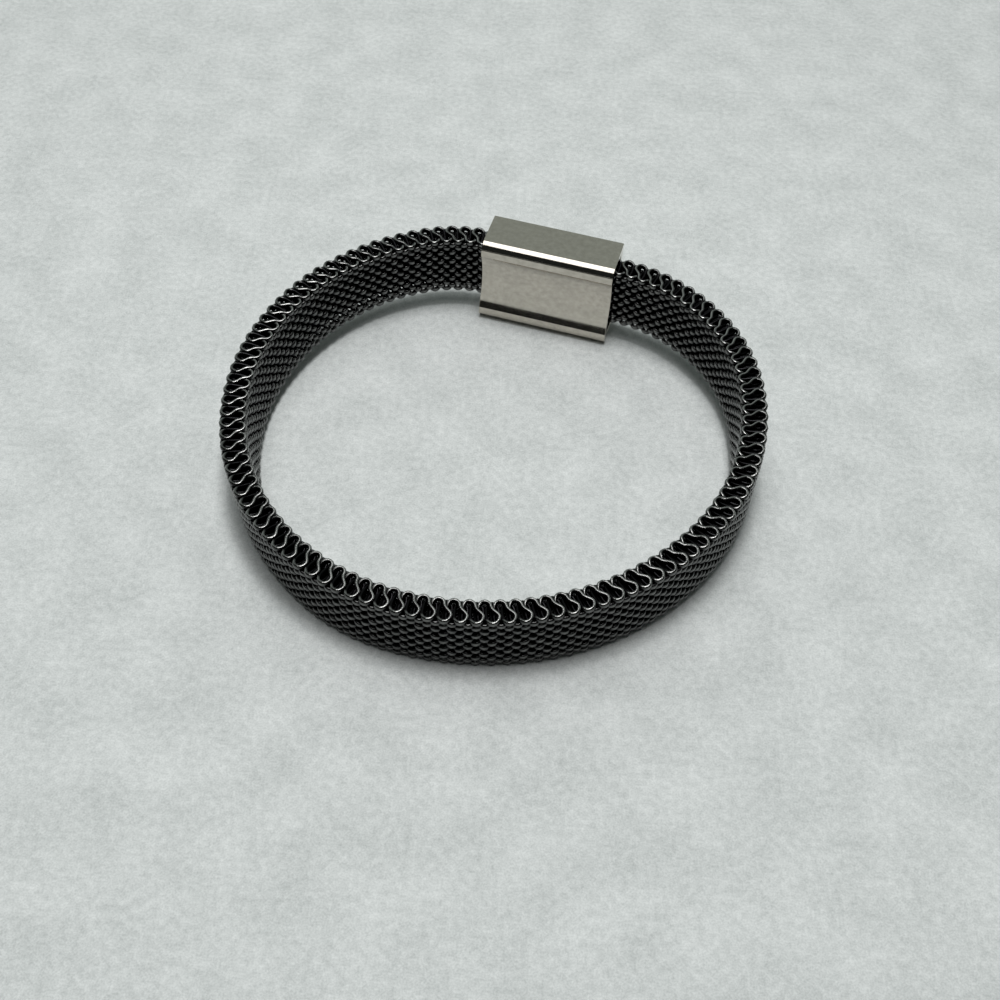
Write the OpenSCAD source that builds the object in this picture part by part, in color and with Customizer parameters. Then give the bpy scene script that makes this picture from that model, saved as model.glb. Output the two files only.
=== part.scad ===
// Woven metal mesh bracelet, closed by a straight box clasp, lying on a flat surface.
// Millimetres, +Z up. The surface is z = 0 and the origin is under the middle of the bracelet.
// The clasp stands flat, and the band slopes from it down to the surface at the far side of the loop.

/* [Mesh band] */
// Width of the band, from its lower edge to its upper edge
band_w = 10; // [6:0.5:14]
// Thickness of the band at the crests of its coils
band_t = 3.6; // [2.4:0.1:5]
// Distance from one edge loop to the next along the middle of the band
coil_pitch = 1.89; // [1.2:0.01:3]
// Depth of the valleys between neighbouring coils, on both faces
coil_valley = 0.25; // [0.05:0.05:0.6]

/* [Loop] */
// Bend radius that each share in bend_shares is taken of
bend_r = 34; // [28:0.5:42]
// Turn of the clasp about the upright axis, seen from above
clasp_turn = -13.2; // [-30:0.1:30]

/* [Clasp] */
// Length of the clasp along the band
clasp_l = 19.7; // [15:0.1:26]
// Wall over and under the pocket that takes the band
clasp_wall = 0.9; // [0.5:0.05:2]
// Spare height of the pocket, above and below a band that lies in its middle
pocket_spare = 1.2; // [1.15:0.05:3]
// Wall on each side of the pocket, before the wrist side is hollowed
side_wall = 1.45; // [1.3:0.05:3]
// Clear space between the band and each side wall of the pocket
pocket_clear = 0.3; // [0.25:0.05:0.5]
// Height of the band's middle above the clasp's middle
band_lift = 1; // [0:0.05:1.05]
// How far each end of the band reaches into the clasp
band_tuck = 5; // [3:0.5:7]
// Radius of the two long edges on the wrist side
edge_r = 1.4; // [0.3:0.05:1.8]
// Depth of the hollow along the wrist side
hollow_depth = 1; // [0.2:0.05:1.1]
// Flat lip between each rounded edge and the hollow
lip_w = 0.7; // [0.1:0.05:2]

/* [Magnet] */
// Gap between the magnet block and the pocket around it
magnet_clear = 0.1; // [0.05:0.05:0.3]
// Gap between the magnet block and each end of the band
magnet_end_gap = 0.15; // [0.1:0.05:0.5]

/* [Hidden] */
$fn = 96;

// The bends of the band, from the clasp's left mouth round to its right mouth, seen from above:
// the angle that each turns, and its radius as a share of bend_r. A share of 0 is worked out, so
// that the last bend meets the right mouth.
bend_angles = [30, 40, 50, 60, 60, 50, 40, 30];
bend_shares = [0.48, 0.95, 0, 0.92, 0, 1.01, 0.73, 0.67];
bend_count = len(bend_angles);
solved = [for (i = [0:bend_count - 1]) if (bend_shares[i] == 0) i];

// Steps across one coil: four outline points, the first of them in the valley
coil_steps = 4;

function total(list, count, i = 0) = i >= count ? list[0] * 0 : list[i] + total(list, count, i + 1);
function smallest(points, axis) = min([for (p = points) p[axis]]);
function largest(points, axis) = max([for (p = points) p[axis]]);

// Heading at the start of each bend, in degrees: the band leaves the left mouth towards -X
headings = [for (i = [0:bend_count]) 180 + total(bend_angles, i)];

// Way from the start to the end of an arc of radius 1 that turns left
function arc_step(from, to) = [sin(to) - sin(from), cos(from) - cos(to)];
steps = [for (i = [0:bend_count - 1]) arc_step(headings[i], headings[i + 1])];

// The two free radii bring the end of the last bend to the right mouth
known_ways = [for (i = [0:bend_count - 1]) steps[i] * bend_shares[i] * bend_r];
gap = [clasp_l, 0] - total(known_ways, bend_count);
step_a = steps[solved[0]];
step_b = steps[solved[1]];
function area(a, b) = a[0] * b[1] - a[1] * b[0];
radius_a = area(gap, step_b) / area(step_a, step_b);
radius_b = area(step_a, gap) / area(step_a, step_b);
radii = [
    for (i = [0:bend_count - 1])
        i == solved[0] ? radius_a : i == solved[1] ? radius_b : bend_shares[i] * bend_r
];

// Place and distance at the start of each bend, from the left mouth
ways = [for (i = [0:bend_count - 1]) steps[i] * radii[i]];
joints = [for (i = [0:bend_count]) [-clasp_l / 2, 0] + total(ways, i)];
lengths = [for (i = [0:bend_count - 1]) radii[i] * bend_angles[i] * PI / 180];
marks = [for (i = [0:bend_count]) total(lengths, i)];
free_length = marks[bend_count];
band_length = free_length + 2 * band_tuck;

function bend_at(s, i = 0) = i >= bend_count - 1 || s < marks[i + 1] ? i : bend_at(s, i + 1);

// Point at distance s along the band, out from its middle, away from the wrist when out is positive
function bent_point(s, out, i) =
    let (to = headings[i] + (s - marks[i]) / radii[i] * 180 / PI)
    joints[i] + arc_step(headings[i], to) * radii[i] + out * [sin(to), -cos(to)];
function band_point(s, out) =
    s < 0 ? [-clasp_l / 2 - s, out]
    : s > free_length ? [clasp_l / 2 - (s - free_length), out]
    : bent_point(s, out, bend_at(s));

// Ribbed outline of the band: each coil swells from a valley to its crest and back
coil_count = floor(band_length / coil_pitch);
end_margin = (band_length - coil_count * coil_pitch) / 2;
function rib(step) = coil_valley * (1 - sin(180 * (step % coil_steps) / coil_steps));
function rim_point(step, side) =
    band_point(-band_tuck + end_margin + step * coil_pitch / coil_steps, side * (band_t / 2 - rib(step)));
rim_steps = coil_count * coil_steps;
outer_rim = concat(
    [band_point(-band_tuck, band_t / 2 - coil_valley)],
    [for (step = [0:rim_steps]) rim_point(step, 1)],
    [band_point(free_length + band_tuck, band_t / 2 - coil_valley)]
);
inner_rim = concat(
    [band_point(-band_tuck, coil_valley - band_t / 2)],
    [for (step = [0:rim_steps]) rim_point(step, -1)],
    [band_point(free_length + band_tuck, coil_valley - band_t / 2)]
);
inner_last = len(inner_rim) - 1;
band_outline = concat(outer_rim, [for (i = [0:inner_last]) inner_rim[inner_last - i]]);

// The pocket through the clasp, the clasp's outer box, and the hollow along its wrist side
pocket_h = band_w + 2 * pocket_spare;
pocket_t = band_t + 2 * pocket_clear;
clasp_h = pocket_h + 2 * clasp_wall;
clasp_t = pocket_t + 2 * side_wall;
hollow_half = clasp_h / 2 - edge_r - lip_w;
hollow_r = (pow(hollow_half, 2) + pow(hollow_depth, 2)) / (2 * hollow_depth);

// Slope that takes the band's lower edge from the clasp down to the surface
axis_height = clasp_h / 2 + band_lift;
reach = -smallest(band_outline, 1);
slope = asin(axis_height / norm([reach, band_w / 2])) - atan2(band_w / 2, reach);

// Middle of the whole bracelet, seen from above, before it is moved to the origin
function turned(p) = [
    p[0] * cos(clasp_turn) - p[1] * sin(clasp_turn),
    p[0] * sin(clasp_turn) + p[1] * cos(clasp_turn)
];
function sloped(p, z) = [p[0], p[1] * cos(slope) - z * sin(slope)];
clasp_corners = [for (x = [-1, 1], y = [-1, 1]) [x * clasp_l / 2, y * clasp_t / 2]];
footprint = concat(
    [for (p = band_outline, z = [-1, 1]) turned(sloped(p, z * band_w / 2))],
    [for (p = clasp_corners) turned(p)]
);
middle = [for (axis = [0, 1]) (smallest(footprint, axis) + largest(footprint, axis)) / 2];

// Places a child from the clasp's frame, whose X runs along the clasp, into the bracelet's frame
module lay() {
    translate([-middle[0], -middle[1], 0])
        rotate([0, 0, clasp_turn])
            children();
}

// Cross-section of the clasp's outside: x is away from the wrist, y is up
module clasp_outside() {
    difference() {
        union() {
            translate([-clasp_t / 2 + edge_r, -clasp_h / 2])
                square([clasp_t - edge_r, clasp_h]);
            translate([-clasp_t / 2, -clasp_h / 2 + edge_r])
                square([clasp_t, clasp_h - 2 * edge_r]);
            for (up = [-1, 1])
                translate([-clasp_t / 2 + edge_r, up * (clasp_h / 2 - edge_r)])
                    circle(r = edge_r);
        }
        translate([-clasp_t / 2 + hollow_depth - hollow_r, 0])
            circle(r = hollow_r, $fn = 4 * $fn);
    }
}

module mesh_band() {
    color([0.2, 0.2, 0.21])
        lay()
            translate([0, 0, axis_height])
                rotate([slope, 0, 0])
                    translate([0, 0, -band_w / 2])
                        linear_extrude(height = band_w)
                            polygon(band_outline);
}

module clasp_shell() {
    color([0.76, 0.76, 0.73])
        lay()
            translate([-clasp_l / 2, 0, clasp_h / 2])
                rotate([90, 0, 90])
                    linear_extrude(height = clasp_l)
                        difference() {
                            clasp_outside();
                            square([pocket_t, pocket_h], center = true);
                        }
}

// The plain block between the two ends of the band, inside the clasp
module magnet_block() {
    block_l = clasp_l - 2 * (band_tuck + magnet_end_gap);
    block_t = pocket_t - 2 * magnet_clear;
    block_h = pocket_h - 2 * magnet_clear;
    color([0.55, 0.55, 0.57])
        lay()
            translate([-block_l / 2, -block_t / 2, clasp_h / 2 - block_h / 2])
                cube([block_l, block_t, block_h]);
}

mesh_band();
clasp_shell();
magnet_block();
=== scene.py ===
"""Looks of the mesh bracelet: the woven wire band, the box clasp, and the studio that they lie in.

Sizes in the classes are millimetres, except those of the studio, which are metres. Meshes are made in
metres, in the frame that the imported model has.
"""

import logging
import math
from collections.abc import Callable
from dataclasses import dataclass
from enum import Enum

import bpy
from mathutils import Matrix, Vector


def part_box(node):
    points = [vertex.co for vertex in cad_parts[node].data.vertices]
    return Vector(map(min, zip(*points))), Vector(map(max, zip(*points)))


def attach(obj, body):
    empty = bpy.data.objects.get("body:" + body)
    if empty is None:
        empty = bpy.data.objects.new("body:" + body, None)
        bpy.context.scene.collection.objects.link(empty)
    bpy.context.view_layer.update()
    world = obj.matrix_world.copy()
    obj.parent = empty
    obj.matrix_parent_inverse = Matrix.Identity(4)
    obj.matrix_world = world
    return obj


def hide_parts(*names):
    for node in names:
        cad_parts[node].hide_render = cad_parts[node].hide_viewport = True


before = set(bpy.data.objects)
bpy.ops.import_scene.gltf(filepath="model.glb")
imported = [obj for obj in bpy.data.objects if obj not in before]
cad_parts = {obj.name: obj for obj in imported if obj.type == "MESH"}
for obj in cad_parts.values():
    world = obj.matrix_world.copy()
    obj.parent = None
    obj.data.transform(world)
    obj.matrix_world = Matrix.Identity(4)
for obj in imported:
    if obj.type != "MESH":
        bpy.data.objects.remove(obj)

MM = 0.001
# Two places nearer than this, in metres, count as one
TOUCH = 1e-6
BODY = "root"
# Values that the wire's points carry for its finish: its rubbed rims, and how far out each point lies, which
# sets the shade painted into the band's depth
EDGE_ATTRIBUTE = "wire_edge"
SHADE_DEPTH_ATTRIBUTE = "wire_depth"

Socket = bpy.types.NodeSocket

log = logging.getLogger("bracelet")


class Slot(Enum):
    """The record's material slots that new pieces take over."""

    DARK_MESH = "dark_mesh"
    SATIN_STEEL = "satin_steel"


class CadNode(Enum):
    """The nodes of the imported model."""

    BAND = "mesh_band"
    CLASP = "clasp_shell"
    MAGNET = "magnet_block"


class MeshPart(Enum):
    """What a mesh is made of: each part's name in edit mode, and where the mesh keeps it."""

    VERT = "vertices"
    EDGE = "edges"
    FACE = "polygons"


def deselect_all() -> None:
    """Leaves object mode with nothing selected, as every new piece needs."""
    if bpy.context.object and bpy.context.object.mode != "OBJECT":
        bpy.ops.object.mode_set(mode="OBJECT")
    bpy.ops.object.select_all(action="DESELECT")


def pick(obj: bpy.types.Object) -> None:
    """Makes one object the only selected and the active one.

    Args:
        obj: The object to work on.
    """
    deselect_all()
    obj.select_set(True)
    bpy.context.view_layer.objects.active = obj


def select_where(obj: bpy.types.Object, part: MeshPart,
                 test: Callable[[bpy.types.bpy_struct], bool]) -> None:
    """Selects some vertices, edges or faces of a mesh, and leaves the mesh in edit mode.

    Args:
        obj: The mesh object, already picked.
        part: What is selected.
        test: A function that takes one vertex, edge or face and says whether it is selected.
    """
    bpy.ops.object.mode_set(mode="EDIT")
    bpy.ops.mesh.select_mode(type=part.name)
    bpy.ops.mesh.select_all(action="DESELECT")
    bpy.ops.object.mode_set(mode="OBJECT")
    for item in getattr(obj.data, part.value):
        item.select = test(item)
    bpy.ops.object.mode_set(mode="EDIT")


def clamp(value: float) -> float:
    """Holds a value between 0 and 1."""
    return min(max(value, 0.0), 1.0)


def smooth(share: float) -> float:
    """Eases a share between 0 and 1 at both of its ends."""
    return share * share * (3 - 2 * share)


def apply_modifiers(obj: bpy.types.Object) -> None:
    """Applies every modifier of an object in order."""
    pick(obj)
    for modifier in list(obj.modifiers):
        bpy.ops.object.modifier_apply(modifier=modifier.name)


def settle(obj: bpy.types.Object, place: Matrix) -> None:
    """Puts a finished piece in its place and leaves the place in its mesh.

    Args:
        obj: The piece, made at the origin.
        place: Where it goes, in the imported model's frame.
    """
    pick(obj)
    obj.matrix_world = place
    bpy.ops.object.transform_apply(location=True, rotation=True, scale=True)


def set_spans(node: bpy.types.Node, source: tuple, target: tuple) -> None:
    """Sets the span that a Map Range node reads, and the one that it gives."""
    for label, number in zip(("From Min", "From Max", "To Min", "To Max"), (*source, *target)):
        node.inputs[label].default_value = number


class NodeGroups:
    """Shader effects that more than one finish uses, each built once as a node group."""

    def __init__(self) -> None:
        """Builds the groups."""
        self.grain = self._build_grain()
        self.blotch = self._build_blotch()

    def _build_grain(self) -> bpy.types.NodeTree:
        """Builds brushed grain: noise drawn out along X, as a value around 0.5.

        Returns:
            The group, with the inputs Vector, Density and Stretch.
        """
        tree = self._new_tree("brushed_grain", ["Density", "Stretch"], "Grain")
        nodes, links = tree.nodes, tree.links
        start, end = nodes["start"], nodes["end"]
        noise = self._noise(tree, detail=4.0, roughness=0.65)
        across = nodes.new("ShaderNodeMath")
        across.operation = "DIVIDE"
        across.inputs[0].default_value = 1.0
        scale = nodes.new("ShaderNodeCombineXYZ")
        scale.inputs["Y"].default_value = 1.0
        scale.inputs["Z"].default_value = 1.0
        squeeze = nodes.new("ShaderNodeVectorMath")
        squeeze.operation = "MULTIPLY"
        links.new(start.outputs["Stretch"], across.inputs[1])
        links.new(across.outputs[0], scale.inputs["X"])
        links.new(start.outputs["Vector"], squeeze.inputs[0])
        links.new(scale.outputs[0], squeeze.inputs[1])
        links.new(squeeze.outputs[0], noise.inputs["Vector"])
        links.new(noise.outputs["Fac"], end.inputs["Grain"])
        return tree

    def _build_blotch(self) -> bpy.types.NodeTree:
        """Builds mottling: soft cloudy noise, remapped between a low and a high value.

        Returns:
            The group, with the inputs Vector, Density, Low and High.
        """
        tree = self._new_tree("mottling", ["Density", "Low", "High"], "Value")
        nodes, links = tree.nodes, tree.links
        start, end = nodes["start"], nodes["end"]
        noise = self._noise(tree, detail=5.0, roughness=0.55)
        spread = nodes.new("ShaderNodeMapRange")
        set_spans(spread, (0.3, 0.7), (0.0, 1.0))
        links.new(start.outputs["Vector"], noise.inputs["Vector"])
        links.new(noise.outputs["Fac"], spread.inputs["Value"])
        links.new(start.outputs["Low"], spread.inputs["To Min"])
        links.new(start.outputs["High"], spread.inputs["To Max"])
        links.new(spread.outputs["Result"], end.inputs["Value"])
        return tree

    @staticmethod
    def _noise(tree: bpy.types.NodeTree, detail: float, roughness: float) -> bpy.types.Node:
        """Adds a noise texture to a group, as dense as the group's Density says.

        Args:
            tree: The group.
            detail: How many finer layers the noise has.
            roughness: How strong each finer layer is.

        Returns:
            The noise node, whose Vector is still free.
        """
        noise = tree.nodes.new("ShaderNodeTexNoise")
        noise.inputs["Detail"].default_value = detail
        noise.inputs["Roughness"].default_value = roughness
        tree.links.new(tree.nodes["start"].outputs["Density"], noise.inputs["Scale"])
        return noise

    @staticmethod
    def _new_tree(name: str, numbers: list[str], result: str) -> bpy.types.NodeTree:
        """Makes an empty group with its sockets.

        Args:
            name: The group's name.
            numbers: The names of its inputs beside Vector.
            result: The name of its one output.

        Returns:
            The group, with nodes named start and end.
        """
        tree = bpy.data.node_groups.new(name, "ShaderNodeTree")
        tree.interface.new_socket(name="Vector", in_out="INPUT", socket_type="NodeSocketVector")
        for label in numbers:
            tree.interface.new_socket(name=label, in_out="INPUT", socket_type="NodeSocketFloat")
        tree.interface.new_socket(name=result, in_out="OUTPUT", socket_type="NodeSocketFloat")
        tree.nodes.new("NodeGroupInput").name = "start"
        tree.nodes.new("NodeGroupOutput").name = "end"
        return tree


class Sheet:
    """A material under construction: its nodes, its links and its one shader."""

    def __init__(self, name: str) -> None:
        """Makes an empty node material with a Principled shader.

        Args:
            name: The material's name.
        """
        self.material = bpy.data.materials.new(name)
        self.material.use_nodes = True
        self.nodes = self.material.node_tree.nodes
        self.links = self.material.node_tree.links
        self.shader = self.nodes["Principled BSDF"]
        self.coords = self.nodes.new("ShaderNodeTexCoord")

    @property
    def place(self) -> Socket:
        """The output with each point's place in the object."""
        return self.coords.outputs["Object"]

    def group(self, tree: bpy.types.NodeTree, vector: Socket, **values: float) -> Socket:
        """Places a node group.

        Args:
            tree: The group.
            vector: The output that feeds its Vector socket.
            **values: Its other inputs by name.

        Returns:
            The group's one output.
        """
        node = self.nodes.new("ShaderNodeGroup")
        node.node_tree = tree
        self.links.new(vector, node.inputs["Vector"])
        for label, value in values.items():
            node.inputs[label].default_value = value
        return node.outputs[0]

    def mix(self, factor: Socket, low: tuple | Socket, high: tuple | Socket) -> Socket:
        """Mixes two colours.

        Args:
            factor: The output that drives the mix.
            low: The colour, or the output, at 0.
            high: The colour, or the output, at 1.

        Returns:
            The mixed colour's output.
        """
        node = self.nodes.new("ShaderNodeMix")
        node.data_type = "RGBA"
        self.links.new(factor, node.inputs["Factor"])
        for socket, colour in ((node.inputs["A"], low), (node.inputs["B"], high)):
            if isinstance(colour, tuple):
                socket.default_value = (*colour, 1.0)
            else:
                self.links.new(colour, socket)
        return node.outputs["Result"]

    def attribute(self, name: str) -> Socket:
        """Reads a value that the piece's own points carry.

        Args:
            name: The value's name.

        Returns:
            The output with the value.
        """
        node = self.nodes.new("ShaderNodeAttribute")
        node.attribute_name = name
        return node.outputs["Fac"]

    def times(self, first: Socket, second: Socket) -> Socket:
        """Multiplies the values of two outputs."""
        return self._maths("MULTIPLY", first, second)

    def plus(self, first: Socket, second: Socket) -> Socket:
        """Adds the values of two outputs."""
        return self._maths("ADD", first, second)

    def _maths(self, operation: str, first: Socket, second: Socket) -> Socket:
        """Joins two outputs by a Math node.

        Args:
            operation: The node's operation.
            first: The output that feeds its first input.
            second: The output that feeds its second input.

        Returns:
            The result's output.
        """
        node = self.nodes.new("ShaderNodeMath")
        node.operation = operation
        self.links.new(first, node.inputs[0])
        self.links.new(second, node.inputs[1])
        return node.outputs[0]

    def ramp(self, value: Socket, source: tuple, target: tuple = (0.0, 1.0)) -> Socket:
        """Remaps a value from one span to another, and holds it at both ends.

        Args:
            value: The output to remap.
            source: The span that it comes from.
            target: The span that it goes to.

        Returns:
            The remapped output.
        """
        node = self.nodes.new("ShaderNodeMapRange")
        self.links.new(value, node.inputs["Value"])
        set_spans(node, source, target)
        return node.outputs["Result"]

    def paint(self, colour: Socket) -> None:
        """Feeds the shader's colour."""
        self.links.new(colour, self.shader.inputs["Base Color"])

    def metal(self, rough: Socket) -> None:
        """Makes the shader a metal, and feeds its roughness."""
        self.links.new(rough, self.shader.inputs["Roughness"])
        self.shader.inputs["Metallic"].default_value = 1.0

    def bump(self, height: Socket, depth: float, strength: float) -> None:
        """Feeds a height through a Bump node to the shader.

        Args:
            height: The output with the height, 0 to 1.
            depth: The height of the relief in millimetres.
            strength: How much of it shows.
        """
        node = self.nodes.new("ShaderNodeBump")
        node.inputs["Distance"].default_value = depth * MM
        node.inputs["Strength"].default_value = strength
        self.links.new(height, node.inputs["Height"])
        self.links.new(node.outputs["Normal"], self.shader.inputs["Normal"])


@dataclass(frozen=True)
class DarkWire:
    """Gunmetal flat wire: dark rolled faces, shade painted black into the band's depth, edges rubbed bright.

    Attributes:
        painted_shade: Painted shade, the colour laid into the band's depth.
        face_dark: Darkest colour of the wire's faces.
        face_light: Lightest colour of the wire's faces.
        edge: Colour of a rubbed edge.
        edge_span: The wear at which rubbing begins to show, and at which it is full.
        shade_span: The share of the way out to the crests at which the painted shade begins to clear, and at
        which the face is free of it.
        roughness: The lowest and the highest roughness.
    """

    painted_shade: tuple = (0.014, 0.014, 0.015)
    face_dark: tuple = (0.105, 0.106, 0.104)
    face_light: tuple = (0.18, 0.181, 0.177)
    edge: tuple = (0.58, 0.58, 0.565)
    edge_span: tuple = (0.45, 1.0)
    shade_span: tuple = (0.865, 0.995)
    roughness: tuple = (0.09, 0.25)

    def material(self, groups: NodeGroups) -> bpy.types.Material:
        """Builds the material.

        Args:
            groups: The shared effects.

        Returns:
            The material.
        """
        sheet = Sheet("dark_wire")
        blotch = sheet.group(groups.blotch, sheet.place, Density=900.0, Low=0.0, High=1.0)
        face = sheet.mix(blotch, self.face_dark, self.face_light)
        rub = sheet.group(groups.blotch, sheet.place, Density=350.0, Low=0.35, High=1.0)
        worn = sheet.times(sheet.ramp(sheet.attribute(EDGE_ATTRIBUTE), self.edge_span), rub)
        # Painted shade: the nearer a point lies to the band's middle, the more it takes the shade colour
        # instead of its face
        unshaded = sheet.ramp(sheet.attribute(SHADE_DEPTH_ATTRIBUTE), self.shade_span)
        sheet.paint(sheet.mix(unshaded, self.painted_shade, sheet.mix(worn, face, self.edge)))
        sheet.metal(sheet.ramp(blotch, (0.0, 1.0), self.roughness))
        grain = sheet.group(groups.grain, sheet.place, Density=5000.0, Stretch=1.0)
        sheet.bump(grain, depth=0.01, strength=0.35)
        return sheet.material


@dataclass(frozen=True)
class SatinSteel:
    """Satin stainless steel with a fine grain along the clasp.

    Attributes:
        dark: Darkest colour of the mottling.
        light: Lightest colour of the mottling.
        grain_span: The span of the grain that the roughness follows.
        roughness: The lowest and the highest roughness.
        turn: The clasp's turn about the upright axis, in radians.
    """

    dark: tuple = (0.48, 0.445, 0.39)
    light: tuple = (0.60, 0.56, 0.495)
    grain_span: tuple = (0.3, 0.7)
    roughness: tuple = (0.035, 0.135)
    turn: float = 0.0

    def material(self, groups: NodeGroups) -> bpy.types.Material:
        """Builds the material.

        Args:
            groups: The shared effects.

        Returns:
            The material.
        """
        sheet = Sheet("satin_steel")
        mapping = sheet.nodes.new("ShaderNodeMapping")
        mapping.inputs["Rotation"].default_value = (0.0, 0.0, -self.turn)
        sheet.links.new(sheet.place, mapping.inputs["Vector"])
        along = mapping.outputs["Vector"]
        blotch = sheet.group(groups.blotch, along, Density=1200.0, Low=0.0, High=1.0)
        grain = sheet.group(groups.grain, along, Density=3800.0, Stretch=24.0)
        sheet.paint(sheet.mix(blotch, self.dark, self.light))
        sheet.metal(sheet.ramp(grain, self.grain_span, self.roughness))
        sheet.bump(grain, depth=0.002, strength=0.15)
        return sheet.material


@dataclass(frozen=True)
class NickelPlate:
    """Plain nickel plating, for the block that the clasp hides.

    Attributes:
        dark: Darkest colour of the mottling.
        light: Lightest colour of the mottling.
        roughness: The lowest and the highest roughness.
    """

    dark: tuple = (0.46, 0.45, 0.43)
    light: tuple = (0.56, 0.55, 0.53)
    roughness: tuple = (0.3, 0.4)

    def material(self, groups: NodeGroups) -> bpy.types.Material:
        """Builds the material.

        Args:
            groups: The shared effects.

        Returns:
            The material.
        """
        sheet = Sheet("nickel_plate")
        blotch = sheet.group(groups.blotch, sheet.place, Density=500.0, Low=0.0, High=1.0)
        sheet.paint(sheet.mix(blotch, self.dark, self.light))
        sheet.metal(sheet.ramp(blotch, (0.0, 1.0), self.roughness))
        return sheet.material


@dataclass(frozen=True)
class PaleBoard:
    """The pale, cool, faintly mottled board that the bracelet lies on.

    Attributes:
        dark: Darkest colour of the mottling.
        light: Lightest colour of the mottling.
        roughness: Its even roughness.
    """

    dark: tuple = (0.445, 0.475, 0.465)
    light: tuple = (0.885, 0.915, 0.905)
    roughness: float = 0.75

    def material(self, groups: NodeGroups) -> bpy.types.Material:
        """Builds the material.

        Args:
            groups: The shared effects.

        Returns:
            The material.
        """
        sheet = Sheet("pale_board")
        slow = sheet.group(groups.blotch, sheet.place, Density=130.0, Low=0.0, High=0.26)
        fine = sheet.group(groups.blotch, sheet.place, Density=1100.0, Low=0.0, High=0.34)
        grit = sheet.group(groups.blotch, sheet.place, Density=4200.0, Low=0.0, High=0.40)
        total = sheet.plus(sheet.plus(slow, fine), grit)
        sheet.paint(sheet.mix(total, self.dark, self.light))
        sheet.shader.inputs["Roughness"].default_value = self.roughness
        sheet.bump(fine, depth=0.05, strength=0.3)
        return sheet.material


@dataclass(frozen=True)
class ClaspPlace:
    """Where the clasp stands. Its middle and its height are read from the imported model's own clasp.

    Attributes:
        turn: Its turn about the upright axis, seen from above, in radians.
        length: Its length along the band.
        thickness: Its thickness across the band.
    """

    turn: float = math.radians(-13.2)
    length: float = 19.7
    thickness: float = 7.1

    @property
    def centre(self) -> Vector:
        """The middle of the clasp's underside, in metres."""
        low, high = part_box(CadNode.CLASP.value)
        return Vector(((low.x + high.x) / 2, (low.y + high.y) / 2, low.z))

    @property
    def height(self) -> float:
        """The clasp's height in millimetres."""
        low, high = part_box(CadNode.CLASP.value)
        return (high.z - low.z) / MM

    def matrix(self) -> Matrix:
        """The move from the clasp's frame, whose X runs along the clasp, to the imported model's."""
        return Matrix.Translation(self.centre) @ Matrix.Rotation(self.turn, 4, "Z")


@dataclass
class BandPlan:
    """The band's middle line seen from above, in the clasp's frame, as a chain of tangent arcs.

    Attributes:
        clasp: The clasp that both ends meet.
        bend_radius: The radius that the shares are taken of.
        angles: How far each arc turns, in degrees.
        shares: Each arc's radius as a share of bend_radius, or 0 where it is worked out.
        tuck: How far each end reaches into the clasp.
        step: The longest piece that an arc is drawn with.
    """

    clasp: ClaspPlace
    bend_radius: float = 34.0
    angles: tuple = (30, 40, 50, 60, 60, 50, 40, 30)
    shares: tuple = (0.48, 0.95, 0, 0.92, 0, 1.01, 0.73, 0.67)
    tuck: float = 5.0
    step: float = 0.8

    def __post_init__(self) -> None:
        """Works out the headings, radii, lengths and corner points of the arcs."""
        self.headings = [math.pi]
        for angle in self.angles:
            self.headings.append(self.headings[-1] + math.radians(angle))
        ways = [self._unit_way(start, end) for start, end in zip(self.headings, self.headings[1:])]
        free = [i for i, share in enumerate(self.shares) if share == 0]
        gap = Vector((self.clasp.length, 0.0))
        for way, share in zip(ways, self.shares):
            gap -= way * share * self.bend_radius
        first, second = (ways[i] for i in free)
        whole = self._area(first, second)
        solved = {free[0]: self._area(gap, second) / whole, free[1]: self._area(first, gap) / whole}
        self.radii = [solved.get(i, share * self.bend_radius) for i, share in enumerate(self.shares)]
        self.corners = [Vector((-self.clasp.length / 2, 0.0))]
        for way, radius in zip(ways, self.radii):
            self.corners.append(self.corners[-1] + way * radius)
        self.arc_lengths = [radius * math.radians(angle) for radius, angle in zip(self.radii, self.angles)]
        self.free_length = sum(self.arc_lengths)

    @staticmethod
    def _unit_way(start: float, end: float) -> Vector:
        """The way from the start to the end of an arc of radius 1 that turns left."""
        return Vector((math.sin(end) - math.sin(start), math.cos(start) - math.cos(end)))

    @staticmethod
    def _area(a: Vector, b: Vector) -> float:
        """The signed area of the parallelogram of two flat vectors."""
        return a.x * b.y - a.y * b.x

    @property
    def length(self) -> float:
        """The band's length with both tucks, in millimetres."""
        return self.free_length + 2 * self.tuck

    def points(self) -> list[Vector]:
        """Draws the middle line from one hidden end to the other.

        Returns:
            Its points in millimetres.
        """
        line = [self.corners[0] + Vector((self.tuck, 0.0)), self.corners[0].copy()]
        for heading, angle, radius, corner, length in zip(
                self.headings, self.angles, self.radii, self.corners, self.arc_lengths):
            count = math.ceil(length / self.step)
            for i in range(1, count + 1):
                ahead = heading + math.radians(angle) * i / count
                line.append(corner + self._unit_way(heading, ahead) * radius)
        line.append(self.corners[-1] - Vector((self.tuck, 0.0)))
        return line


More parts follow.
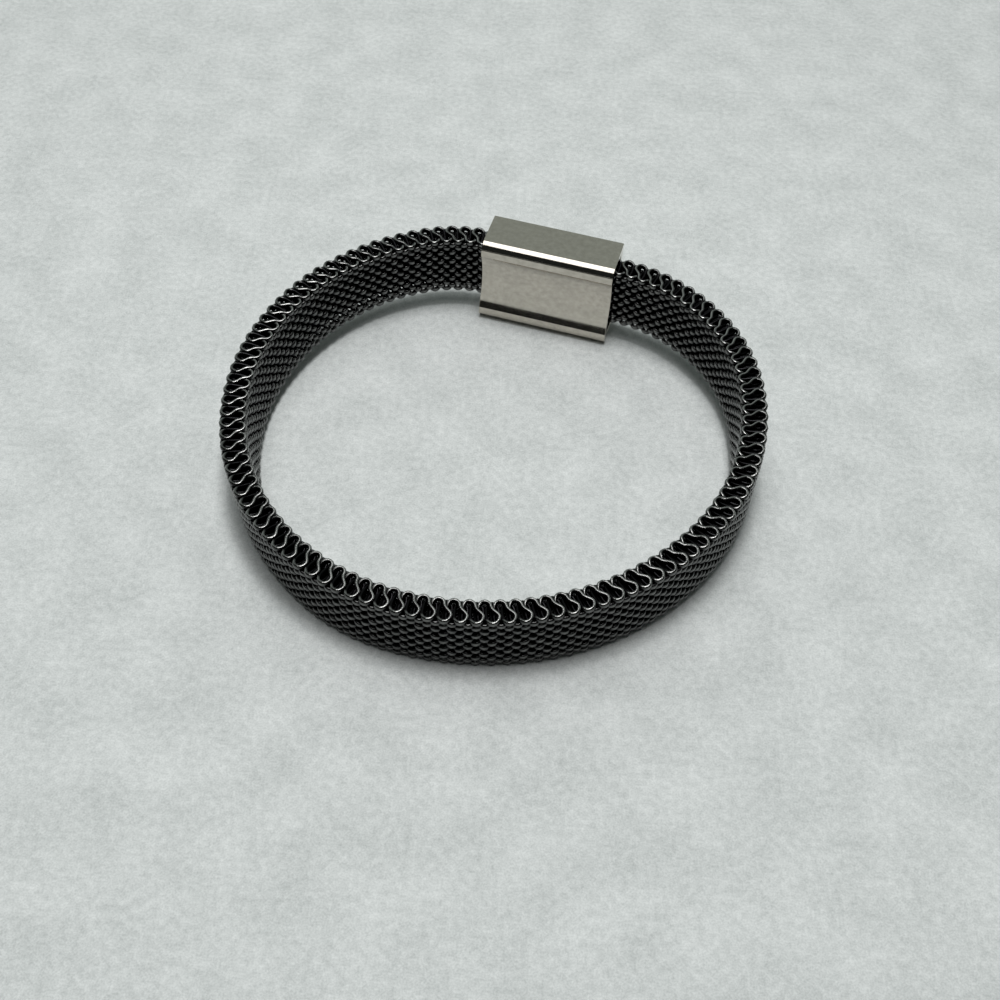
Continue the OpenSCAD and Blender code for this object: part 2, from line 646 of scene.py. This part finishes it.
@dataclass
class WireBand:
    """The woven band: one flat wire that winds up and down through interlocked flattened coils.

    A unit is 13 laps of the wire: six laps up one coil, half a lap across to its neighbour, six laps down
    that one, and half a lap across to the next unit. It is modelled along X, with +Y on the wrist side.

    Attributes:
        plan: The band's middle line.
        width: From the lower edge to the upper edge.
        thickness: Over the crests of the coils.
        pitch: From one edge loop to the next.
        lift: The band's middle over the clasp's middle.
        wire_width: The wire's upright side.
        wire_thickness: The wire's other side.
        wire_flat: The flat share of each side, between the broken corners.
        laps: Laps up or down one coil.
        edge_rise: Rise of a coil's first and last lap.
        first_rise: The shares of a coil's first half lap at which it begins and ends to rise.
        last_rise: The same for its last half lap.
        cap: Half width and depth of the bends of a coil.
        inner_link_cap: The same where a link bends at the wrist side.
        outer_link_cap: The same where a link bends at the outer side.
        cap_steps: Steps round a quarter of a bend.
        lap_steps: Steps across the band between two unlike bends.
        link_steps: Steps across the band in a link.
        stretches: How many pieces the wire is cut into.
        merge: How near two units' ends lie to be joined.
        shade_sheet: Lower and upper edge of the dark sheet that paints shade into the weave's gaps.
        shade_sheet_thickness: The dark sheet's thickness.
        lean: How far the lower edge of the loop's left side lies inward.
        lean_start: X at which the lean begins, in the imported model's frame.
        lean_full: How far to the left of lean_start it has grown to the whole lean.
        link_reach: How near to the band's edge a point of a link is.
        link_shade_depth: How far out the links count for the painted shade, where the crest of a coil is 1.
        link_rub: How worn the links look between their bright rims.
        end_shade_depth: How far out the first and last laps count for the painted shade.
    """

    plan: BandPlan
    width: float = 10.0
    thickness: float = 3.6
    pitch: float = 1.89
    lift: float = 1.0
    wire_width: float = 0.78
    wire_thickness: float = 0.48
    wire_flat: tuple = (0.5, 0.45)
    laps: int = 6
    edge_rise: float = 1.12
    first_rise: tuple = (0.2, 0.5)
    last_rise: tuple = (0.5, 0.8)
    cap: tuple = (0.78, 1.05)
    inner_link_cap: tuple = (0.75, 0.85)
    outer_link_cap: tuple = (0.78, 0.95)
    cap_steps: int = 4
    lap_steps: int = 3
    link_steps: int = 5
    stretches: int = 3
    merge: float = 0.02
    shade_sheet: tuple = (1.0, 8.6)
    shade_sheet_thickness: float = 0.3
    lean: float = 0.9
    lean_start: float = -14.0
    lean_full: float = 16.0
    link_reach: float = 0.12
    link_shade_depth: float = 0.94
    link_rub: float = 0.5
    end_shade_depth: float = 0.86

    def __post_init__(self) -> None:
        """Works out the coils' depth and levels from the band's size."""
        self.half_depth = (self.thickness - self.wire_thickness) / 2
        self.low = self.wire_width / 2
        self.high = self.width - self.wire_width / 2
        self.rise = (self.high - self.low - 2 * self.edge_rise) / (self.laps - 2)
        self.unit_count = math.floor(self.plan.length / self.pitch)
        self.margin = (self.plan.length - self.unit_count * self.pitch) / 2

    def build(self, material: bpy.types.Material) -> list[bpy.types.Object]:
        """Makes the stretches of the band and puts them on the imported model.

        Args:
            material: The wire's finish.

        Returns:
            The stretches.
        """
        unit = self._unit()
        shade_cell = self._shade_sheet_cell()
        guide = self._poly_curve("band_guide", self.plan.points())
        share = math.ceil(self.unit_count / self.stretches)
        # The dark sheet carries none of the wire's point values, so the finish gives it the painted shade
        # colour all over
        pieces = [self._stretch("woven_core", shade_cell, guide, 0, self.unit_count)]
        for i in range(self.stretches):
            count = min(share, self.unit_count - share * i)
            pieces.append(self._stretch(f"woven_wire_{i}", unit, guide, share * i, count))
        for piece in pieces:
            piece.data.materials.clear()
            piece.data.materials.append(material)
        for helper in (unit, shade_cell, guide):
            bpy.data.objects.remove(helper)
        return pieces

    def _level(self, laps: float) -> float:
        """The height of the wire's middle after some laps up a coil, whose first and last lap rise less."""
        inside = min(max(laps - 1, 0), self.laps - 2)
        return self.low + self.edge_rise * (min(laps, 1) + max(laps + 1 - self.laps, 0)) + self.rise * inside

    def _crossing(self, inner: tuple, outer: tuple, steps: int, shift: float = 0.0) -> list[Vector]:
        """The wire seen from above, from the inner side of one coil round its -X side to the outer side.

        Args:
            inner: Half width and depth of the bend at the inner side.
            outer: Half width and depth of the bend at the outer side.
            steps: Steps between the two bends.
            shift: Where the outer bend's middle is along X.

        Returns:
            Points from the inner side, at +Y, to the outer side, at -Y.
        """
        angles = [math.pi / 2 * i / self.cap_steps for i in range(self.cap_steps + 1)]
        first = [Vector((-inner[0] * math.sin(angle), self.half_depth - inner[1] * (1 - math.cos(angle))))
                 for angle in angles]
        last = [Vector((shift - outer[0] * math.cos(angle),
                        outer[1] * (1 - math.sin(angle)) - self.half_depth))
                for angle in angles]
        begin, end = first[-1], last[0]
        between = [Vector((begin.x + (end.x - begin.x) * smooth(i / steps),
                           begin.y + (end.y - begin.y) * (i / steps)))
                   for i in range(1, steps)]
        return first + between + last

    @staticmethod
    def _shares(points: list[Vector]) -> list[float]:
        """Measures how much of a line is done at each of its points.

        Args:
            points: The line's points.

        Returns:
            The shares, from 0 to 1.
        """
        done = [0.0]
        for a, b in zip(points, points[1:]):
            done.append(done[-1] + (b - a).length)
        return [value / done[-1] for value in done]

    def _half_lap(self, half: int) -> list[Vector]:
        """One half lap of the unit, with its heights.

        Args:
            half: The half lap, counted from 0.

        Returns:
            Points from one side of the band to the other.
        """
        up = 2 * self.laps
        if half in (up, 2 * up + 1):
            return self._link(upper=half == up)
        if half < up:
            centre = 0.0
            levels = self._level(half / 2), self._level((half + 1) / 2)
        else:
            down = half - up - 1
            centre = self.pitch / 2
            levels = self._level(self.laps - down / 2), self._level(self.laps - (down + 1) / 2)
        inner = self.inner_link_cap if half in (0, up - 1) else self.cap
        outer = self.outer_link_cap if half in (up + 1, 2 * up) else self.cap
        plan = self._crossing(inner, outer, 1 if inner == outer else self.lap_steps)
        side = -1
        if half % 2 == 1:
            plan.reverse()
            side = 1
        begin, done = {0: self.first_rise, up - 1: self.last_rise}.get(half, (0.0, 1.0))
        rises = [clamp((share - begin) / (done - begin)) for share in self._shares(plan)]
        return [Vector((centre + side * p.x, p.y, levels[0] + (levels[1] - levels[0]) * rise))
                for p, rise in zip(plan, rises)]

    def _link(self, upper: bool) -> list[Vector]:
        """The level half lap along one edge of the band, from one coil to the next.

        Args:
            upper: Whether it lies along the upper edge.

        Returns:
            Points from one side of the band to the other.
        """
        plan = self._crossing(self.inner_link_cap, self.outer_link_cap, self.link_steps, -self.pitch / 2)
        if upper:
            return [Vector((-p.x, p.y, self.high)) for p in plan]
        return [Vector((self.pitch + p.x, p.y, self.low)) for p in reversed(plan)]

    def _wire_line(self) -> list[Vector]:
        """Draws the middle of the wire through one unit.

        Returns:
            Its points, with one more before and after the unit.
        """
        line = []
        for half in range(4 * self.laps + 2):
            rows = self._half_lap(half)
            line.extend(rows[1:] if line else rows)
        ahead = line[1] + Vector((self.pitch, 0.0, 0.0))
        before = line[-2] - Vector((self.pitch, 0.0, 0.0))
        return [before, *line, ahead]

    def _section(self) -> list[Vector]:
        """Draws the wire's section: an upright strip whose four corners are broken.

        Returns:
            Its eight points, of which 0 and 3 bound one flat end and 4 and 7 the other.
        """
        side, half = self.wire_thickness / 2, self.wire_width / 2
        near, far = self.wire_flat[0] * side, self.wire_flat[1] * half
        return [Vector(p) for p in ((near, half), (side, far), (side, -far), (near, -half),
                                    (-near, -half), (-side, -far), (-side, far), (-near, half))]

    @staticmethod
    def _poly_curve(name: str, points: list[Vector], closed: bool = False) -> bpy.types.Object:
        """Draws a curve of straight pieces.

        Args:
            name: The object's name.
            points: Its points in millimetres, flat or not.
            closed: Whether the last point runs back to the first.

        Returns:
            The curve object.
        """
        curve = bpy.data.curves.new(name, "CURVE")
        curve.dimensions = "3D"
        curve.twist_mode = "Z_UP"
        spline = curve.splines.new("POLY")
        spline.points.add(len(points) - 1)
        for point, place in zip(spline.points, points):
            point.co = (*(place.to_3d() * MM), 1.0)
        spline.use_cyclic_u = closed
        obj = bpy.data.objects.new(name, curve)
        bpy.context.collection.objects.link(obj)
        return obj

    def _unit(self) -> bpy.types.Object:
        """Models one unit of the weave as a strip of wire that starts and ends alike.

        Returns:
            The unit, with its first coil at X = 0.
        """
        section = self._poly_curve("wire_section", self._section(), closed=True)
        unit = self._poly_curve("wire_unit", self._wire_line())
        unit.data.bevel_mode = "OBJECT"
        unit.data.bevel_object = section
        pick(unit)
        bpy.ops.object.convert(target="MESH")
        bpy.data.objects.remove(section)
        ring = len(self._section())
        last = len(unit.data.vertices) - ring
        select_where(unit, MeshPart.VERT, lambda vertex: not ring <= vertex.index < last)
        bpy.ops.mesh.delete(type="VERT")
        bpy.ops.object.mode_set(mode="OBJECT")
        self._mark(unit.data, ring)
        return unit

    def _mark(self, mesh: bpy.types.Mesh, ring: int) -> None:
        """Gives each point its wear, and how far out it lies, which sets the shade that the finish paints in.

        Args:
            mesh: The unit's mesh, made of equal rings of points in order.
            ring: How many points a ring has.
        """
        worn = mesh.attributes.new(EDGE_ATTRIBUTE, "FLOAT", "POINT")
        # How far out each point lies, which the finish turns into painted shade in the band's depth
        depth = mesh.attributes.new(SHADE_DEPTH_ATTRIBUTE, "FLOAT", "POINT")
        # The rim that turns away from the band's middle is the bright one
        rims = ((0, 3), (4, 7))
        outer = max(rims, key=lambda rim: sum(abs(v.co.y) for v in mesh.vertices if v.index % ring in rim))
        for vertex in mesh.vertices:
            rim = vertex.index % ring in outer
            # Low values get painted shade; the links and the first and last laps are held clearer of it
            shade_depth_value = abs(vertex.co.y) / (self.thickness / 2 * MM)
            inward = self.width / 2 - abs(vertex.co.z / MM - self.width / 2)
            wear = 0.0
            if inward < self.link_reach:
                shade_depth_value = 1.0 if rim else max(shade_depth_value, self.link_shade_depth)
                wear = self.link_rub
            elif inward < self.edge_rise:
                shade_depth_value = max(shade_depth_value, self.end_shade_depth)
            worn.data[vertex.index].value = 1.0 if rim else wear
            depth.data[vertex.index].value = shade_depth_value

    def _shade_sheet_cell(self) -> bpy.types.Object:
        """Models one pitch of the dark sheet that stands for the wires crossing inside the band and paints
        their shade.

        Returns:
            The piece of the dark sheet, open at both ends.
        """
        low, high = self.shade_sheet
        deselect_all()
        bpy.ops.mesh.primitive_cube_add(size=1.0)
        shade_cell = bpy.context.active_object
        shade_cell.scale = Vector((self.pitch, self.shade_sheet_thickness, high - low)) * MM
        shade_cell.location = Vector((self.pitch / 2, 0.0, (low + high) / 2)) * MM
        bpy.ops.object.transform_apply(location=True, rotation=False, scale=True)
        select_where(shade_cell, MeshPart.FACE, lambda face: abs(face.normal.x) > 0.5)
        bpy.ops.mesh.delete(type="ONLY_FACE")
        bpy.ops.object.mode_set(mode="OBJECT")
        return shade_cell

    def _stretch(self, name: str, unit: bpy.types.Object, guide: bpy.types.Object, first: int,
                 count: int) -> bpy.types.Object:
        """Repeats a unit along one stretch of the band.

        Args:
            name: The stretch's name.
            unit: The modelled unit.
            guide: The band's middle line.
            first: The first unit's number.
            count: How many units the stretch has.

        Returns:
            The stretch, in place.
        """
        piece = unit.copy()
        piece.data = unit.data.copy()
        piece.name = name
        piece.data.name = name
        bpy.context.collection.objects.link(piece)
        self._repeat(piece, count)
        offset = self.margin + self.pitch / 2 + first * self.pitch
        bpy.ops.object.mode_set(mode="EDIT")
        bpy.ops.mesh.select_all(action="SELECT")
        bpy.ops.transform.translate(value=(offset * MM, 0.0, 0.0))
        if first + count == self.unit_count:
            end = (self.plan.length * MM, 0.0, 0.0)
            bpy.ops.mesh.bisect(plane_co=end, plane_no=(1.0, 0.0, 0.0), clear_outer=True)
        bpy.ops.mesh.select_all(action="SELECT")
        bpy.ops.mesh.fill_holes(sides=0)
        bpy.ops.mesh.normals_make_consistent(inside=False)
        bpy.ops.object.mode_set(mode="OBJECT")
        bend = piece.modifiers.new("bend", "CURVE")
        bend.object = guide
        bend.deform_axis = "POS_X"
        apply_modifiers(piece)
        bpy.ops.object.shade_smooth()
        settle(piece, self._place())
        self._lean(piece)
        return piece

    def _repeat(self, piece: bpy.types.Object, count: int) -> None:
        """Turns one unit into a row of units whose ends are joined.

        Args:
            piece: The unit.
            count: How many units the row has.
        """
        row = piece.modifiers.new("row", "ARRAY")
        row.fit_type = "FIXED_COUNT"
        row.count = count
        row.use_relative_offset = False
        row.use_constant_offset = True
        row.constant_offset_displace = (self.pitch * MM, 0.0, 0.0)
        row.use_merge_vertices = True
        row.merge_threshold = self.merge * MM
        apply_modifiers(piece)

    def _lean(self, piece: bpy.types.Object) -> None:
        """Leans the left of the loop, whose lower edge lies further in than its upper edge.

        Args:
            piece: A stretch in place.
        """
        for vertex in piece.data.vertices:
            share = clamp((self.lean_start * MM - vertex.co.x) / (self.lean_full * MM))
            foot = max(1 - vertex.co.z / (self.width * MM), 0)
            vertex.co.x += self.lean * MM * smooth(share) * foot

    def _place(self) -> Matrix:
        """Works out where the band goes, sloping from the clasp down to the board.

        Returns:
            The move from the guide's frame, in which the band's lower edge is at 0.
        """
        axis = self.plan.clasp.height / 2 + self.lift
        reach = self.thickness / 2 - min(point.y for point in self.plan.points())
        slope = math.asin(axis / math.hypot(reach, self.width / 2)) - math.atan2(self.width / 2, reach)
        level = Matrix.Translation((0.0, 0.0, -self.width / 2 * MM))
        lift = Matrix.Translation((0.0, 0.0, axis * MM))
        return self.plan.clasp.matrix() @ lift @ Matrix.Rotation(slope, 4, "X") @ level


@dataclass
class Clasp:
    """The straight box clasp: an upright sleeve whose wrist side has rounded edges and a shallow hollow.

    Attributes:
        place: Where it stands, and its outer size.
        wall: Wall over and under the pocket.
        side_wall: Wall on each side of the pocket.
        edge_radius: Radius of the two long edges on the wrist side.
        hollow_depth: Depth of the hollow.
        lip: Flat lip between each rounded edge and the hollow.
        soft: Width of the bevel that breaks the sharp edges.
        soft_angle: The angle, in degrees, over which an edge is broken.
        shade_angle: The angle, in degrees, under which faces are shaded as one.
    """

    place: ClaspPlace
    wall: float = 0.9
    side_wall: float = 1.45
    edge_radius: float = 1.4
    hollow_depth: float = 1.15
    lip: float = 0.7
    soft: float = 0.07
    soft_angle: float = 18.0
    shade_angle: float = 50.0

    def build(self, material: bpy.types.Material) -> bpy.types.Object:
        """Models the sleeve.

        Args:
            material: The sleeve's finish.

        Returns:
            The sleeve, in place.
        """
        sleeve = self._block()
        self._cut_hollow(sleeve)
        self._cut_pocket(sleeve)
        self._soften(sleeve)
        sleeve.data.materials.clear()
        sleeve.data.materials.append(material)
        settle(sleeve, self.place.matrix() @ Matrix.Translation((0.0, 0.0, self.place.height / 2 * MM)))
        return sleeve

    def _block(self) -> bpy.types.Object:
        """Models the block with its two rounded long edges on the wrist side.

        Returns:
            The block, centred on the origin.
        """
        length, thickness, height = self.place.length, self.place.thickness, self.place.height
        deselect_all()
        bpy.ops.mesh.primitive_cube_add(size=1.0)
        block = bpy.context.active_object
        block.name = "clasp_sleeve"
        block.scale = Vector((length, thickness, height)) * MM
        bpy.ops.object.transform_apply(location=False, rotation=False, scale=True)
        wrist = -thickness / 2 * MM

        def is_long_wrist_edge(edge: bpy.types.MeshEdge) -> bool:
            """Tells whether an edge runs along the clasp on its wrist side.

            Args:
                edge: An edge of the block.

            Returns:
                True for the two long edges.
            """
            ends = [block.data.vertices[i].co for i in edge.vertices]
            on_wrist = all(abs(end.y - wrist) < TOUCH for end in ends)
            return on_wrist and abs(ends[0].z - ends[1].z) < TOUCH

        select_where(block, MeshPart.EDGE, is_long_wrist_edge)
        bpy.ops.mesh.bevel(offset=self.edge_radius * MM, segments=10, profile=0.5, affect="EDGES")
        bpy.ops.object.mode_set(mode="OBJECT")
        return block

    def _cut_hollow(self, block: bpy.types.Object) -> None:
        """Cuts the shallow round hollow along the wrist side.

        Args:
            block: The block to cut.
        """
        half = self.place.height / 2 - self.edge_radius - self.lip
        radius = (half ** 2 + self.hollow_depth ** 2) / (2 * self.hollow_depth)
        deselect_all()
        bpy.ops.mesh.primitive_cylinder_add(vertices=256, radius=radius * MM,
                                            depth=self.place.length * 2 * MM,
                                            rotation=(0.0, math.pi / 2, 0.0))
        cutter = bpy.context.active_object
        cutter.location.y = (-self.place.thickness / 2 + self.hollow_depth - radius) * MM
        self._subtract(block, cutter)

    def _cut_pocket(self, block: bpy.types.Object) -> None:
        """Cuts the pocket for the band's ends right through the block.

        Args:
            block: The block to cut.
        """
        deselect_all()
        bpy.ops.mesh.primitive_cube_add(size=1.0)
        cutter = bpy.context.active_object
        cutter.scale = Vector((self.place.length * 2, self.place.thickness - 2 * self.side_wall,
                               self.place.height - 2 * self.wall)) * MM
        self._subtract(block, cutter)

    @staticmethod
    def _subtract(block: bpy.types.Object, cutter: bpy.types.Object) -> None:
        """Takes one solid from another and removes the one taken.

        Args:
            block: What is left.
            cutter: What is taken.
        """
        cut = block.modifiers.new("cut", "BOOLEAN")
        cut.operation = "DIFFERENCE"
        cut.solver = "EXACT"
        cut.object = cutter
        apply_modifiers(block)
        bpy.data.objects.remove(cutter)

    def _soften(self, block: bpy.types.Object) -> None:
        """Breaks the sharp edges and smooths the faces.

        Args:
            block: The finished block.
        """
        soft = block.modifiers.new("soft", "BEVEL")
        soft.width = self.soft * MM
        soft.segments = 3
        soft.limit_method = "ANGLE"
        soft.angle_limit = math.radians(self.soft_angle)
        apply_modifiers(block)
        bpy.ops.object.shade_smooth_by_angle(angle=math.radians(self.shade_angle))
        weigh = block.modifiers.new("weigh", "WEIGHTED_NORMAL")
        weigh.keep_sharp = True
        apply_modifiers(block)


@dataclass(frozen=True)
class PhotoCamera:
    """The camera that was fitted to the photo, in the bracelet's frame.

    Attributes:
        place: Its place in millimetres.
        azimuth: How far it is turned to the right of +Y, in degrees.
        below: How far it looks below the level, in degrees.
        roll: Its turn about its own line of sight, in degrees.
        focal: Its focal length in millimetres, for a sensor 36 mm wide.
    """

    place: tuple = (0.716, -122.546, 140.94)
    azimuth: float = 0.301
    below: float = 50.830
    roll: float = 3.874
    focal: float = 48.024

    def build(self) -> None:
        """Sets the camera up and makes it the scene's."""
        data = bpy.data.cameras.new("photo_camera")
        data.sensor_width = 36.0
        data.lens = self.focal
        data.clip_start = 0.005
        data.clip_end = 20.0
        camera = bpy.data.objects.new("photo_camera", data)
        bpy.context.collection.objects.link(camera)
        turn = (Matrix.Rotation(math.radians(-self.azimuth), 4, "Z")
                @ Matrix.Rotation(math.radians(90 - self.below), 4, "X")
                @ Matrix.Rotation(math.radians(self.roll), 4, "Z"))
        camera.matrix_world = Matrix.Translation(Vector(self.place) * MM) @ turn
        bpy.context.scene.camera = camera


@dataclass(frozen=True)
class Studio:
    """The pale board, a broad panel and a small key lamp overhead, and a room that is dark behind the camera.

    Attributes:
        board: The board's side in metres.
        gap: How far under the bracelet it lies, in metres.
        height: The lights' height over it, in metres.
        panel: The panel's left, front, right and back, in metres.
        panel_radiance: How bright the panel looks from below.
        lamp: The key lamp's left, front, right and back, in metres.
        lamp_radiance: How bright the key lamp looks from below.
        far_side: The room's strength at its back.
        near_side: The room's strength behind the camera.
        fade: How far to the back a direction points, as its Y, where the room begins to turn pale and
            where it is palest.
        room_tint: The room's colour.
    """

    board: float = 3.0
    gap: float = 0.00002
    height: float = 0.6
    panel: tuple = (-0.20, -0.29, 0.07, 0.34)
    panel_radiance: float = 2.5
    lamp: tuple = (-0.05, -0.06, 0.07, 0.12)
    lamp_radiance: float = 25.0
    far_side: float = 0.38
    near_side: float = 0.02
    fade: tuple = (0.05, 0.65)
    room_tint: tuple = (0.90, 1.0, 0.95)

    def build(self, groups: NodeGroups) -> None:
        """Lays the board and sets the lights.

        Args:
            groups: The shared effects.
        """
        self._lay_board(groups)
        self._hang("broad_panel", self.panel, self.panel_radiance)
        self._hang("key_lamp", self.lamp, self.lamp_radiance)
        self._surround()
        view = bpy.context.scene.view_settings
        view.view_transform = "Standard"
        view.look = "None"

    def _lay_board(self, groups: NodeGroups) -> None:
        """Lays the board just under the bracelet.

        Args:
            groups: The shared effects.
        """
        deselect_all()
        bpy.ops.mesh.primitive_plane_add(size=self.board, location=(0.0, 0.0, -self.gap))
        board = bpy.context.active_object
        board.name = "pale_board"
        board.data.materials.append(PaleBoard().material(groups))

    def _hang(self, name: str, area: tuple, radiance: float) -> None:
        """Hangs a soft light that shines straight down.

        Args:
            name: The light's name.
            area: Its left, front, right and back, in metres.
            radiance: How bright it looks from below.
        """
        left, front, right, back = area
        data = bpy.data.lights.new(name, "AREA")
        data.shape = "RECTANGLE"
        data.size = right - left
        data.size_y = back - front
        data.energy = radiance * math.pi * data.size * data.size_y
        light = bpy.data.objects.new(name, data)
        light.location = ((left + right) / 2, (front + back) / 2, self.height)
        bpy.context.collection.objects.link(light)

    def _surround(self) -> None:
        """Shades the surroundings from pale behind the bracelet to dark at the camera."""
        world = bpy.data.worlds.new("studio_room")
        bpy.context.scene.world = world
        world.use_nodes = True
        nodes, links = world.node_tree.nodes, world.node_tree.links
        coords = nodes.new("ShaderNodeTexCoord")
        split = nodes.new("ShaderNodeSeparateXYZ")
        spread = nodes.new("ShaderNodeMapRange")
        set_spans(spread, self.fade, (self.near_side, self.far_side))
        links.new(coords.outputs["Generated"], split.inputs["Vector"])
        links.new(split.outputs["Y"], spread.inputs["Value"])
        nodes["Background"].inputs["Color"].default_value = (*self.room_tint, 1.0)
        links.new(spread.outputs["Result"], nodes["Background"].inputs["Strength"])


def main() -> None:
    """Builds the bracelet, then the studio."""
    logging.basicConfig(level=logging.INFO, format="%(message)s")
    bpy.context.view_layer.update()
    groups = NodeGroups()
    place = ClaspPlace()

    band = WireBand(BandPlan(place))
    for piece in band.build(DarkWire().material(groups)):
        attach(piece, BODY)
        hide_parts(CadNode.BAND.value)
        log.info("%s: %d faces", piece.name, len(piece.data.polygons))

    sleeve = Clasp(place).build(SatinSteel(turn=place.turn).material(groups))
    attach(sleeve, BODY)
    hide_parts(CadNode.CLASP.value)
    log.info("%s: %d faces", sleeve.name, len(sleeve.data.polygons))

    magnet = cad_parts[CadNode.MAGNET.value]
    magnet.data.materials[0] = NickelPlate().material(groups)
    log.info("%s: finish set", magnet.name)

    PhotoCamera().build()
    Studio().build(groups)
    log.info("studio: set")


if __name__ == "__main__":
    main()
